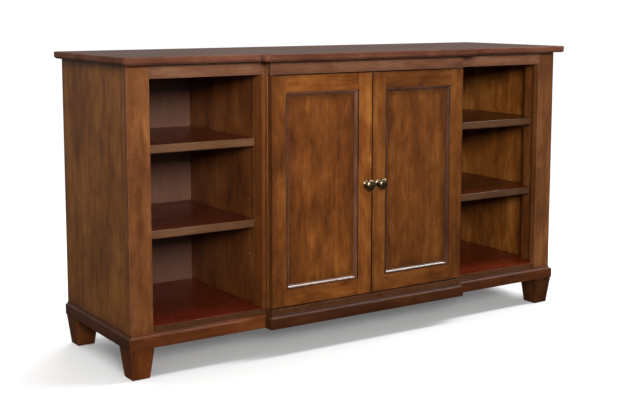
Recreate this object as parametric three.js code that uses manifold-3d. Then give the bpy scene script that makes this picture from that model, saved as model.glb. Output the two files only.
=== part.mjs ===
// Breakfront media console: a wooden cabinet with a two-door cupboard in the middle that stands
// forward of two open shelf bays, on a moulded base with four tapered feet.
// Millimetres, +Z up, front towards -Y. The origin is on the floor under the middle of the outline.
import * as THREE from "three";
import { mergeVertices } from "three/addons/utils/BufferGeometryUtils.js";
import Module from "manifold-3d";

const wasm = await Module();
wasm.setup();

// ---- driving dimensions ----
const CASE_WIDTH = 1590;
const CASE_DEPTH = 465; // side sections, without the overhang of the top
const STEP = 34; // how far the cupboard stands forward of the side bays
const HEIGHT = 898;
const TOP_THICK = 21;
const TOP_SIDE_OVERHANG = 20;
const TOP_FRONT_OVERHANG = 34;
const TOP_BACK_OVERHANG = 10;
const TOP_STEP_OVERHANG = 35; // the step of the top stands this far outside the doors
const TOP_END_RADIUS = 11;
const TOP_STEP_RADIUS = 16;
const FOOT_HEIGHT = 89;
const FOOT_TOP_WIDTH = 74;
const FOOT_SOLE_WIDTH = 54;
const FOOT_INSET = 31; // case face to the middle of a foot, at the sides and front
const FOOT_BACK_INSET = 39;
const BASE_HEIGHT = 39.5;
const BASE_PROJECTION = 8;
const BASE_INNER = 14; // how far the base lengths reach in under the case
const BOTTOM_THICK = 18.7;
const BOARD = 19; // side panels and partitions
const FRAME_THICK = 25; // stiles and rails, front to back
const POST_THICK = 19;
const POST_WIDTH = 45;
const STILE_WIDTH = 68.7;
const RAIL_HEIGHT = 39.7;
const CENTRE_WIDTH = 720.6; // over the doors
const BAY_WALL_TO_DOOR = 11.5; // partition's bay face to the door's outer edge
const STRIP_REVEAL = 12; // the pin strip's face lies this far outside the stile's inner edge
const STRIP_WIDTH = 54;
const LIPPING_DEPTH = 48; // solid front edge of a partition
const BACK_THICK = 6;
const BACK_RECESS = 6;
const SHELF_THICK = 24.5;
const SHELF_SETBACK = 38;
const SHELF_SIDE_GAP = 1;
const SHELF_BACK_GAP = 4;
const PEG_PITCH = 80.5;
const PEG_ROWS = 7;
const PEG_FIRST = 221.5; // height of the lowest pin hole
const PEG_RADIUS = 2.5;
const PEG_DEPTH = 9;
const PEG_STRIP_INSET = 50; // front pin row of a strip, from the front of the bay
const PEG_PARTITION_INSET = 75; // front pin row of a partition
const PEG_BACK_INSET = 35; // back pin rows, from the back panel
const DOOR_THICK = 20;
const DOOR_BACK_GAP = 2.3; // closed door to the post behind it
const DOOR_TOP_GAP = 2.4;
const DOOR_BOTTOM_GAP = 3.4;
const MEETING_GAP = 2.2;
const DOOR_MEMBER = 50;
const BEAD_WIDTH = 12.5;
const DOOR_PANEL_THICK = 6;
const DOOR_PANEL_RECESS = 9;
const KNOB_HEIGHT = 494;
const KNOB_FROM_EDGE = 22.5;
const HINGE_FROM_EDGE = 6;
const HINGE_FROM_BACK = 12;
const LEAF_LENGTH = 52;
const LEAF_HALF_WIDTH = 5;
const LEAF_THICK = 2;
const HINGE_PIN_RADIUS = 2.5;
const HINGE_EYE_RADIUS = 3.1;
const FIT = 0.3; // gap between pieces that touch

// ---- derived planes and heights ----
const HALF_CASE = CASE_WIDTH / 2;
const DEPTH = TOP_FRONT_OVERHANG + STEP + CASE_DEPTH + TOP_BACK_OVERHANG;
const CASE_BACK = DEPTH / 2 - TOP_BACK_OVERHANG;
const BAY_FRONT = CASE_BACK - CASE_DEPTH; // front of the stiles
const DOOR_FRONT = BAY_FRONT - STEP;
const DOOR_BACK = DOOR_FRONT + DOOR_THICK;
const POST_FRONT = DOOR_BACK + DOOR_BACK_GAP;
const POST_BACK = POST_FRONT + POST_THICK;
const BACK_PANEL_FRONT = CASE_BACK - BACK_RECESS - BACK_THICK;
const BASE_TOP = FOOT_HEIGHT + BASE_HEIGHT;
const FLOOR = BASE_TOP + BOTTOM_THICK; // upper face of the bottom board
const UNDER_TOP = HEIGHT - TOP_THICK;
const RAIL_BOTTOM = UNDER_TOP - RAIL_HEIGHT;
const HALF_CENTRE = CENTRE_WIDTH / 2;
const PARTITION_OUTER = HALF_CENTRE + BAY_WALL_TO_DOOR;
const PARTITION_INNER = PARTITION_OUTER - BOARD;
const STILE_INNER = HALF_CASE - STILE_WIDTH;
const STRIP_FACE = STILE_INNER + STRIP_REVEAL;
const PANEL_INNER = HALF_CASE - BOARD; // side panel's inner face
const STRIP_FRONT = BAY_FRONT + FRAME_THICK + FIT;
const STRIP_BACK = STRIP_FRONT + STRIP_WIDTH;
const PEG_BACK_Y = BACK_PANEL_FRONT - PEG_BACK_INSET;
const DOOR_BOTTOM = FLOOR + DOOR_BOTTOM_GAP;
const DOOR_TOP = RAIL_BOTTOM - DOOR_TOP_GAP;
const DOOR_WIDTH = (CENTRE_WIDTH - MEETING_GAP) / 2;

// ---- materials ----
function finish(color, roughness, metalness = 0) {
  return new THREE.MeshStandardMaterial({ color, roughness, metalness });
}
const topWood = finish(0x6b4a3c, 0.3);
const sideWood = finish(0x6f4a2a, 0.4);
const frameWood = finish(0x7d4c2b, 0.35);
const doorWood = finish(0x784a28, 0.35);
const innerWood = finish(0x5a3820, 0.45);
const shelfWood = finish(0x6e472b, 0.4);
const baseWood = finish(0x6a3c22, 0.35);
const backBoard = finish(0x54382a, 0.6);
const brass = finish(0x7a6844, 0.35, 1);
const blackCatch = finish(0x24211f, 0.5);

const group = new THREE.Group();

// ---- small tools ----
function addNode(parent, name, geometry, material, position = [0, 0, 0]) {
  const mesh = new THREE.Mesh(geometry, material);
  mesh.name = name;
  mesh.position.set(...position);
  parent.add(mesh);
  return mesh;
}

function block(x, y, z) {
  const geometry = new THREE.BoxGeometry(x[1] - x[0], y[1] - y[0], z[1] - z[0]);
  return geometry.translate((x[0] + x[1]) / 2, (y[0] + y[1]) / 2, (z[0] + z[1]) / 2);
}

// The span from a to b out from the middle, on one side (-1 left, 1 right), lowest value first.
function across(side, a, b) {
  return [side * a, side * b].sort((p, q) => p - q);
}

// A round bar along an axis given as a unit vector.
function bar(radius, length, centre, axis = [0, 0, 1], sides = 24) {
  const geometry = new THREE.CylinderGeometry(radius, radius, length, sides);
  const up = new THREE.Vector3(0, 1, 0);
  const turn = new THREE.Quaternion().setFromUnitVectors(up, new THREE.Vector3(...axis));
  return geometry.applyQuaternion(turn).translate(...centre);
}

function toSolid(geometry) {
  const bare = geometry.clone();
  bare.deleteAttribute("normal");
  bare.deleteAttribute("uv");
  const merged = mergeVertices(bare, 1e-4);
  return new wasm.Manifold(new wasm.Mesh({
    numProp: 3,
    vertProperties: new Float32Array(merged.attributes.position.array),
    triVerts: new Uint32Array(merged.index.array),
  }));
}

function toGeometry(solid) {
  const mesh = solid.getMesh();
  const geometry = new THREE.BufferGeometry();
  geometry.setAttribute("position", new THREE.BufferAttribute(mesh.vertProperties, 3));
  geometry.setIndex(new THREE.BufferAttribute(mesh.triVerts, 1));
  geometry.computeVertexNormals();
  return geometry;
}

function carve(geometry, cutters) {
  const cut = cutters.reduce((solid, cutter) => solid.subtract(toSolid(cutter)), toSolid(geometry));
  return toGeometry(cut);
}

function join(pieces) {
  const [first, ...others] = pieces.map(toSolid);
  return toGeometry(others.reduce((solid, other) => solid.add(other), first));
}

// A closed solid through rings of points that all have the same count, first ring at the bottom.
function loft(rings) {
  const count = rings[0].length;
  const positions = rings.flat(2);
  const triangles = [];
  for (let level = 0; level + 1 < rings.length; level += 1) {
    for (let i = 0; i < count; i += 1) {
      const a = level * count + i;
      const b = level * count + (i + 1) % count;
      triangles.push(a, b, b + count, a, b + count, a + count);
    }
  }
  const outline = rings[0].map(([x, y]) => new THREE.Vector2(x, y));
  const last = (rings.length - 1) * count;
  for (const [a, b, c] of THREE.ShapeUtils.triangulateShape(outline, [])) {
    triangles.push(c, b, a, last + a, last + b, last + c);
  }
  return closedGeometry(positions, triangles);
}

function closedGeometry(positions, triangles) {
  const geometry = new THREE.BufferGeometry();
  geometry.setAttribute("position", new THREE.Float32BufferAttribute(positions, 3));
  geometry.setIndex(signedVolume(positions, triangles) < 0 ? triangles.reverse() : triangles);
  geometry.computeVertexNormals();
  return geometry;
}

function signedVolume(positions, triangles) {
  const point = (i) => new THREE.Vector3(...positions.slice(3 * i, 3 * i + 3));
  let sum = 0;
  for (let t = 0; t < triangles.length; t += 3) {
    const [a, b, c] = [0, 1, 2].map((k) => point(triangles[t + k]));
    sum += a.dot(b.cross(c)) / 6;
  }
  return sum;
}

// Sweeps a closed profile of [outward offset, height] along the path's corners from..to, in plan.
// Each corner is mitred with the path's next stretch, and open ends stand back from the mitre.
function mitredSweep(path, profile, from, to, closed = false) {
  const count = path.length;
  const normalAfter = (i) => {
    const [x0, y0] = path[(i + count) % count];
    const [x1, y1] = path[(i + 1 + count) % count];
    const length = Math.hypot(x1 - x0, y1 - y0);
    return [(y0 - y1) / length, (x1 - x0) / length];
  };
  const mitreAt = (i) => {
    const hasBefore = closed || i > 0;
    const hasAfter = closed || i < count - 1;
    const before = hasBefore ? normalAfter(i - 1) : normalAfter(i);
    const after = hasAfter ? normalAfter(i) : normalAfter(i - 1);
    const scale = 1 + before[0] * after[0] + before[1] * after[1];
    return [(before[0] + after[0]) / scale, (before[1] + after[1]) / scale];
  };
  const standBack = (i) => {
    if (closed || (i !== from && i !== to)) return [0, 0];
    const [nx, ny] = i === from ? normalAfter(from) : normalAfter(to - 1);
    const sign = i === from ? 1 : -1;
    return [sign * ny * FIT / 2, -sign * nx * FIT / 2];
  };
  const stations = [];
  for (let i = from; i <= to; i += 1) {
    const [mx, my] = mitreAt(i);
    const [sx, sy] = standBack(i);
    stations.push(profile.map(([out, z]) => [
      path[i % count][0] + mx * out + sx,
      path[i % count][1] + my * out + sy,
      z,
    ]));
  }
  return sweepSkin(stations, profile, closed);
}

// Joins the sections of a sweep into one skin: a ring if closed, or else capped at both ends.
function sweepSkin(stations, profile, closed) {
  const count = profile.length;
  const used = closed ? stations.slice(0, -1) : stations;
  const triangles = [];
  const lastStretch = closed ? used.length : used.length - 1;
  for (let s = 0; s < lastStretch; s += 1) {
    const here = s * count;
    const next = ((s + 1) % used.length) * count;
    for (let i = 0; i < count; i += 1) {
      const j = (i + 1) % count;
      triangles.push(here + i, here + j, next + j, here + i, next + j, next + i);
    }
  }
  if (!closed) {
    const outline = profile.map(([out, z]) => new THREE.Vector2(out, z));
    const end = (used.length - 1) * count;
    const clockwise = THREE.ShapeUtils.isClockWise(outline);
    for (const face of THREE.ShapeUtils.triangulateShape(outline, [])) {
      const [a, b, c] = clockwise ? face : face.reverse();
      triangles.push(a, b, c, end + c, end + b, end + a);
    }
  }
  return closedGeometry(used.flat(2), triangles);
}

// ---- top ----
// Plan outline of the top, drawn in by inset, with its outer corners rounded.
function topOutline(inset) {
  const side = HALF_CASE + TOP_SIDE_OVERHANG - inset;
  const centre = HALF_CENTRE + TOP_STEP_OVERHANG - inset;
  const back = CASE_BACK + TOP_BACK_OVERHANG - inset;
  const bayEdge = BAY_FRONT - TOP_FRONT_OVERHANG + inset;
  const centreEdge = DOOR_FRONT - TOP_FRONT_OVERHANG + inset;
  const endRadius = TOP_END_RADIUS - inset;
  const stepRadius = TOP_STEP_RADIUS - inset;
  const points = [];
  const corner = (x, y, startAngle, radius) => {
    const steps = 6;
    for (let i = 0; i <= steps; i += 1) {
      const angle = THREE.MathUtils.degToRad(startAngle + 90 * i / steps);
      points.push([x + radius * Math.cos(angle), y + radius * Math.sin(angle)]);
    }
  };
  corner(-side + endRadius, bayEdge + endRadius, 180, endRadius);
  points.push([-centre, bayEdge]);
  corner(-centre + stepRadius, centreEdge + stepRadius, 180, stepRadius);
  corner(centre - stepRadius, centreEdge + stepRadius, 270, stepRadius);
  points.push([centre, bayEdge]);
  corner(side - endRadius, bayEdge + endRadius, 270, endRadius);
  points.push([side, back], [-side, back]);
  return points;
}

function makeTop() {
  const edge = [[4, UNDER_TOP], [4, UNDER_TOP + 3], [0, UNDER_TOP + 6], [0, HEIGHT - 3], [3, HEIGHT]];
  const rings = edge.map(([inset, z]) => topOutline(inset).map(([x, y]) => [x, y, z]));
  addNode(group, "top_panel", loft(rings), topWood);
}

// ---- case ----
// A column of blind holes for shelf pins, drilled in one direction along X from a wall's face.
function pegHoles(faceX, direction, y) {
  const holes = [];
  const middle = faceX + direction * (PEG_DEPTH - 1) / 2;
  for (let row = 0; row < PEG_ROWS; row += 1) {
    const z = PEG_FIRST + row * PEG_PITCH;
    holes.push(bar(PEG_RADIUS + 0.25, PEG_DEPTH + 1, [middle, y, z], [1, 0, 0], 8));
  }
  return holes;
}

function makeSide(side, label) {
  const z = [BASE_TOP + FIT, UNDER_TOP - FIT];
  const panel = block(
    across(side, PANEL_INNER, HALF_CASE), [BAY_FRONT + FRAME_THICK + FIT, CASE_BACK], z);
  const holes = pegHoles(side * PANEL_INNER, side, PEG_BACK_Y);
  addNode(group, `${label}_side_panel`, carve(panel, holes), sideWood);
  const stile = block(
    across(side, STILE_INNER, HALF_CASE), [BAY_FRONT, BAY_FRONT + FRAME_THICK], z);
  addNode(group, `${label}_front_stile`, stile, frameWood);
  const rail = block(
    across(side, HALF_CENTRE + FIT, STILE_INNER - FIT),
    [BAY_FRONT, BAY_FRONT + FRAME_THICK],
    [RAIL_BOTTOM, UNDER_TOP - FIT]);
  addNode(group, `${label}_top_rail`, rail, frameWood);
}

// The strip behind a stile brings the front shelf pins in line with the stile's inner edge.
function makePinStrip(side, label) {
  const strip = block(
    across(side, STRIP_FACE, PANEL_INNER - FIT),
    [STRIP_FRONT, STRIP_BACK],
    [FLOOR + FIT, UNDER_TOP - FIT]);
  const holes = pegHoles(side * STRIP_FACE, side, BAY_FRONT + PEG_STRIP_INSET);
  addNode(group, `${label}_pin_strip`, carve(strip, holes), innerWood);
}

function makePartition(side, label) {
  const board = block(
    across(side, PARTITION_INNER, PARTITION_OUTER),
    [BAY_FRONT + LIPPING_DEPTH + FIT, BACK_PANEL_FRONT - FIT],
    [FLOOR + FIT, UNDER_TOP - FIT]);
  const holes = [BAY_FRONT + PEG_PARTITION_INSET, PEG_BACK_Y].flatMap((y) =>
    pegHoles(side * PARTITION_OUTER, -side, y));
  addNode(group, `${label}_partition`, carve(board, holes), innerWood);
}

// A partition's lipping is rabbeted for the post in front of it and notched under the top rail.
function makeLippingAndPost(side, label) {
  const z = [FLOOR + FIT, UNDER_TOP - FIT];
  const edge = block(
    across(side, PARTITION_INNER, PARTITION_OUTER), [BAY_FRONT, BAY_FRONT + LIPPING_DEPTH], z);
  const rabbet = block(
    across(side, PARTITION_INNER - 1, HALF_CENTRE + FIT),
    [BAY_FRONT - 1, POST_BACK + FIT],
    [z[0] - 1, z[1] + 1]);
  const notch = block(
    across(side, PARTITION_INNER - 1, PARTITION_OUTER + 1),
    [BAY_FRONT - 1, BAY_FRONT + FRAME_THICK + FIT],
    [RAIL_BOTTOM - FIT, UNDER_TOP]);
  addNode(group, `${label}_partition_lipping`, carve(edge, [rabbet, notch]), frameWood);
  const post = block(
    across(side, HALF_CENTRE - POST_WIDTH, HALF_CENTRE), [POST_FRONT, POST_BACK], z);
  addNode(group, `${label}_centre_post`, post, frameWood);
}

function makeBottom() {
  const stileCorner = STILE_INNER - FIT;
  const behindStile = BAY_FRONT + FRAME_THICK + FIT;
  const outer = PANEL_INNER - FIT;
  const back = BACK_PANEL_FRONT - FIT;
  const outline = [
    [-outer, behindStile], [-stileCorner, behindStile], [-stileCorner, BAY_FRONT],
    [-HALF_CENTRE, BAY_FRONT], [-HALF_CENTRE, DOOR_FRONT], [HALF_CENTRE, DOOR_FRONT],
    [HALF_CENTRE, BAY_FRONT], [stileCorner, BAY_FRONT], [stileCorner, behindStile],
    [outer, behindStile], [outer, back], [-outer, back],
  ];
  const rings = [BASE_TOP + FIT, FLOOR].map((z) => outline.map(([x, y]) => [x, y, z]));
  const mortises = [-1, 1].map((side) => hingeMortise(side, FLOOR, -1));
  addNode(group, "bottom_panel", carve(loft(rings), mortises), frameWood);
}

function makeBack() {
  const y = [BACK_PANEL_FRONT, BACK_PANEL_FRONT + BACK_THICK];
  const z = [BASE_TOP + FIT, UNDER_TOP - FIT];
  const joint = (PARTITION_INNER + PARTITION_OUTER) / 2;
  const bay = (side) => block(across(side, joint + FIT, PANEL_INNER - FIT), y, z);
  addNode(group, "left_back_panel", bay(-1), backBoard);
  addNode(group, "right_back_panel", bay(1), backBoard);
  const cableHoles = [-1, 1].map((side) =>
    bar(32, BACK_THICK * 3, [side * 180, y[0] + BACK_THICK / 2, FLOOR + 110], [0, 1, 0], 32));
  addNode(group, "centre_back_panel", carve(block([-joint, joint], y, z), cableHoles), backBoard);
}

function makeCentreRail() {
  const rail = block(
    [-HALF_CENTRE, HALF_CENTRE], [DOOR_FRONT, POST_FRONT - FIT], [RAIL_BOTTOM, UNDER_TOP - FIT]);
  const mortises = [-1, 1].map((side) => hingeMortise(side, RAIL_BOTTOM, 1));
  addNode(group, "centre_top_rail", carve(rail, mortises), frameWood);
}

// ---- base and feet ----
function makeBase() {
  const side = HALF_CASE;
  const path = [
    [-side, CASE_BACK], [-side, BAY_FRONT], [-HALF_CENTRE, BAY_FRONT], [-HALF_CENTRE, DOOR_FRONT],
    [HALF_CENTRE, DOOR_FRONT], [HALF_CENTRE, BAY_FRONT], [side, BAY_FRONT], [side, CASE_BACK],
  ];
  // [offset, height]: the path runs anticlockwise round the case, so outward offsets are negative
  const out = -BASE_PROJECTION;
  const profile = [
    [BASE_INNER, FOOT_HEIGHT], [BASE_INNER, BASE_TOP], [-1, BASE_TOP], [-2, BASE_TOP - 3],
    [-4.5, BASE_TOP - 6.5], [out + 0.5, BASE_TOP - 8], [out, BASE_TOP - 10], [out, FOOT_HEIGHT],
  ];
  const lengths = [["base_left", 0, 1], ["base_front_left", 1, 2], ["base_front_centre", 2, 5],
    ["base_front_right", 5, 6], ["base_right", 6, 7]];
  for (const [name, from, to] of lengths) {
    addNode(group, name, mitredSweep(path, profile, from, to), baseWood);
  }
  const backRail = block(
    [-side + BASE_INNER + FIT, side - BASE_INNER - FIT],
    [CASE_BACK - 20, CASE_BACK],
    [FOOT_HEIGHT, BASE_TOP]);
  addNode(group, "base_back", backRail, baseWood);
}

function makeFeet() {
  const square = (half, z) => [[-half, -half, z], [half, -half, z], [half, half, z], [-half, half, z]];
  const sole = FOOT_SOLE_WIDTH / 2;
  const foot = loft([
    square(sole - 1.5, 0),
    square(sole, 1.5),
    square(FOOT_TOP_WIDTH / 2, FOOT_HEIGHT - FIT),
  ]);
  for (const [label, side] of [["left", -1], ["right", 1]]) {
    const x = side * (HALF_CASE - FOOT_INSET);
    addNode(group, `front_${label}_foot`, foot, baseWood, [x, BAY_FRONT + FOOT_INSET, 0]);
    addNode(group, `back_${label}_foot`, foot, baseWood, [x, CASE_BACK - FOOT_BACK_INSET, 0]);
  }
}

// ---- shelves ----
function addShelf(name, geometry, pegRow) {
  const underside = PEG_FIRST + pegRow * PEG_PITCH + PEG_RADIUS;
  addNode(group, name, geometry, shelfWood, [0, 0, underside]);
}

// A bay's shelf reaches the side panel and is notched round the pin strip at its front corner.
function bayShelf(side) {
  const front = BAY_FRONT + SHELF_SETBACK;
  const board = block(
    across(side, PARTITION_OUTER + SHELF_SIDE_GAP, PANEL_INNER - SHELF_SIDE_GAP),
    [front, BACK_PANEL_FRONT - SHELF_BACK_GAP],
    [0, SHELF_THICK]);
  const notch = block(
    across(side, STRIP_FACE - SHELF_SIDE_GAP, PANEL_INNER),
    [front - 1, STRIP_BACK + SHELF_SIDE_GAP],
    [-1, SHELF_THICK + 1]);
  return carve(board, [notch]);
}

function makeShelves() {
  for (const [label, side] of [["left", -1], ["right", 1]]) {
    addShelf(`${label}_lower_shelf`, bayShelf(side), 2);
    addShelf(`${label}_upper_shelf`, bayShelf(side), 5);
  }
  const half = PARTITION_INNER - SHELF_SIDE_GAP;
  const cupboardShelf = block(
    [-half, half], [POST_BACK + 30, BACK_PANEL_FRONT - SHELF_BACK_GAP], [0, SHELF_THICK]);
  addShelf("centre_shelf", cupboardShelf, 3);
}

// ---- doors ----
// Hinge axis of a door, in plan.
function hingeAxis(side) {
  return [side * (HALF_CENTRE - HINGE_FROM_EDGE), DOOR_BACK - HINGE_FROM_BACK];
}

// Plate of a hinge leaf lying on one side of a face at height z, grown by clearance.
function leafPlate(side, z, up, grow = 0) {
  const [x, y] = hingeAxis(side);
  const outer = Math.abs(x) + LEAF_HALF_WIDTH - 0.5;
  return block(
    across(side, outer - LEAF_LENGTH - grow, outer + grow),
    [y - LEAF_HALF_WIDTH - grow, y + LEAF_HALF_WIDTH + grow],
    up > 0 ? [z, z + LEAF_THICK + grow] : [z - LEAF_THICK - grow, z]);
}

// Recess that lets a leaf in flush with the face at height z.
function hingeMortise(side, z, up) {
  return leafPlate(side, z, up, FIT);
}

function makeHinge(side, label, place) {
  const [x, y] = hingeAxis(side);
  const top = place === "top";
  const up = top ? 1 : -1; // towards the piece that carries the fixed leaf
  const fixedFace = top ? RAIL_BOTTOM : FLOOR;
  const movingFace = top ? DOOR_TOP : DOOR_BOTTOM;
  const gap = Math.abs(fixedFace - movingFace);
  const washer = gap - FIT;
  const pinLength = gap + LEAF_THICK + 3;
  const fixed = join([
    leafPlate(side, fixedFace, up),
    bar(4.2, washer + 1, [x, y, fixedFace - up * (washer - 1) / 2]),
    bar(HINGE_PIN_RADIUS, pinLength + 1, [x, y, fixedFace - up * (pinLength - 1) / 2]),
  ]);
  addNode(group, `${label}_${place}_hinge_fixed_leaf`, fixed, brass);
  const eye = bar(HINGE_EYE_RADIUS, 10, [x, y, movingFace]);
  const moving = carve(leafPlate(side, movingFace, -up), [eye]);
  addNode(group, `${label}_${place}_hinge_door_leaf`, moving, brass);
}

function makeDoor(side, label) {
  const outer = HALF_CENTRE;
  const inner = HALF_CENTRE - DOOR_WIDTH; // meeting edge
  const y = [DOOR_FRONT, DOOR_BACK];
  const z = [DOOR_BOTTOM, DOOR_TOP];
  const railX = across(side, inner + DOOR_MEMBER + FIT, outer - DOOR_MEMBER - FIT);
  const [hingeX, hingeY] = hingeAxis(side);
  const leafCuts = [
    hingeMortise(side, DOOR_TOP, -1),
    hingeMortise(side, DOOR_BOTTOM, 1),
    bar(HINGE_EYE_RADIUS, 20, [hingeX, hingeY, DOOR_TOP]),
    bar(HINGE_EYE_RADIUS, 20, [hingeX, hingeY, DOOR_BOTTOM]),
  ];
  const hingeStile = block(across(side, outer - DOOR_MEMBER, outer), y, z);
  const meetingStile = block(across(side, inner, inner + DOOR_MEMBER), y, z);
  const topRail = block(railX, y, [DOOR_TOP - DOOR_MEMBER, DOOR_TOP]);
  const bottomRail = block(railX, y, [DOOR_BOTTOM, DOOR_BOTTOM + DOOR_MEMBER]);
  addNode(group, `${label}_door_hinge_stile`, carve(hingeStile, leafCuts), doorWood);
  addNode(group, `${label}_door_meeting_stile`, meetingStile, doorWood);
  addNode(group, `${label}_door_top_rail`, carve(topRail, leafCuts), doorWood);
  addNode(group, `${label}_door_bottom_rail`, carve(bottomRail, leafCuts), doorWood);
  makeDoorPanel(railX, [DOOR_BOTTOM + DOOR_MEMBER, DOOR_TOP - DOOR_MEMBER], label);
  const knobX = side * (inner + KNOB_FROM_EDGE);
  addNode(group, `${label}_door_knob`, knobGeometry(), brass, [knobX, DOOR_FRONT - FIT, KNOB_HEIGHT]);
  const strike = block(
    across(side, 6, 34), [DOOR_BACK + FIT, DOOR_BACK + FIT + 1], [DOOR_TOP - 22, DOOR_TOP - 6]);
  addNode(group, `${label}_strike_plate`, strike, brass);
}

function makeDoorPanel(x, z, label) {
  const front = DOOR_FRONT + DOOR_PANEL_RECESS;
  const panel = block(x, [front, front + DOOR_PANEL_THICK], [z[0] + FIT, z[1] - FIT]);
  addNode(group, `${label}_door_panel`, panel, doorWood);
  const path = [[x[0], z[0] + FIT], [x[1], z[0] + FIT], [x[1], z[1] - FIT], [x[0], z[1] - FIT]];
  // [inward offset, height over the panel's face]
  const height = DOOR_PANEL_RECESS - FIT;
  const profile = [
    [0, 0], [BEAD_WIDTH, 0], [BEAD_WIDTH, 1], [9.5, 1.8], [7.6, 4], [7, 6.2],
    [5.4, height - 0.4], [2.6, height], [0, height - 1.2],
  ];
  // swept in plan, then stood upright so that its height points to the front
  const bead = mitredSweep(path, profile, 0, path.length, true).rotateX(Math.PI / 2);
  addNode(group, `${label}_door_bead`, bead, doorWood, [0, front - FIT, 0]);
}

// Round knob on a stem and rose, turned about its own axis, which points to the front.
function knobGeometry() {
  const profile = [
    [0, 0], [11, 0], [11, 1.8], [8.2, 3], [4.8, 4.8], [4.4, 11], [6.6, 15.5], [13.6, 19.6],
    [16.5, 23.6], [16.2, 26.8], [13.4, 30.4], [8, 33], [0, 33.8],
  ];
  const points = profile.map(([radius, height]) => new THREE.Vector2(radius, height));
  return new THREE.LatheGeometry(points, 32).rotateX(Math.PI);
}

function makeCatch() {
  const body = block([-38, 38], [POST_FRONT, POST_FRONT + 16], [RAIL_BOTTOM - 24, RAIL_BOTTOM + 18]);
  addNode(group, "door_catch", body, blackCatch);
}

// ---- assembly ----
makeTop();
makeBottom();
makeBack();
makeCentreRail();
makeBase();
makeFeet();
makeShelves();
makeCatch();
for (const [label, side] of [["left", -1], ["right", 1]]) {
  makeSide(side, label);
  makePinStrip(side, label);
  makePartition(side, label);
  makeLippingAndPost(side, label);
  makeDoor(side, label);
  makeHinge(side, label, "top");
  makeHinge(side, label, "bottom");
}

export default group;
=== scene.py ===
"""Looks of a breakfront media console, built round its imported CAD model. Metres, +Z up, front to -Y."""

import math
import random

import bmesh
import bpy
from mathutils import Matrix, Vector


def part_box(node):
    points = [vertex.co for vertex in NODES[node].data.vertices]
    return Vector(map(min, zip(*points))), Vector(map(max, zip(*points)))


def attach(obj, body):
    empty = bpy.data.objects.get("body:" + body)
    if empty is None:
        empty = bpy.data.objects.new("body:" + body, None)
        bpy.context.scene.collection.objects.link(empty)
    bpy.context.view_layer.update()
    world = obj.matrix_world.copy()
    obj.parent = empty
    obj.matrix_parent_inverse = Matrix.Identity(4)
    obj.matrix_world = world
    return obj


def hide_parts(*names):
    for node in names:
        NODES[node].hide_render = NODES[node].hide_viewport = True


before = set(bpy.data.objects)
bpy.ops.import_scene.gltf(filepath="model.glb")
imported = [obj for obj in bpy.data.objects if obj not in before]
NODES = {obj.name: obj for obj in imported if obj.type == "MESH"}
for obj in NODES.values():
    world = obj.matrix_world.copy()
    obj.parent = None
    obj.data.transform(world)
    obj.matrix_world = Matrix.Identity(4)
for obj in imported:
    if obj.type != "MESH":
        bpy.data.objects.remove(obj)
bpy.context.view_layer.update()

MM = 0.001
SIDES = (("left", -1), ("right", 1))

# ---- camera: a product shot from the left, from a little above the top ----
CAMERA_PLACE = (-2.0584, -3.0271, 1.0338)
CAMERA_AZIMUTH = 33.25  # degrees to the right of +Y
CAMERA_PITCH = -7.07
CAMERA_LENS = 66.37
SENSOR_WIDTH = 36
CAMERA_SHIFT = -0.085

# ---- planes of the case, from the CAD model ----
CASE_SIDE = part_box("right_side_panel")[1].x
CASE_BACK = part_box("right_side_panel")[1].y
BAY_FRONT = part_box("right_front_stile")[0].y
DOOR_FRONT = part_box("right_door_meeting_stile")[0].y
HALF_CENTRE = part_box("centre_top_rail")[1].x
UNDER_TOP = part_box("top_panel")[0].z
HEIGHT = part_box("top_panel")[1].z
BASE_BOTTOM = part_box("base_front_centre")[0].z
BASE_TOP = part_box("base_front_centre")[1].z


def make_camera():
    camera = bpy.data.cameras.new("camera")
    camera.lens = CAMERA_LENS
    camera.sensor_width = SENSOR_WIDTH
    camera.shift_y = CAMERA_SHIFT
    camera.dof.use_dof = False
    obj = bpy.data.objects.new("camera", camera)
    obj.location = CAMERA_PLACE
    turn = (90 + CAMERA_PITCH, 0, -CAMERA_AZIMUTH)
    obj.rotation_euler = [math.radians(angle) for angle in turn]
    bpy.context.scene.collection.objects.link(obj)
    bpy.context.scene.camera = obj


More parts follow.
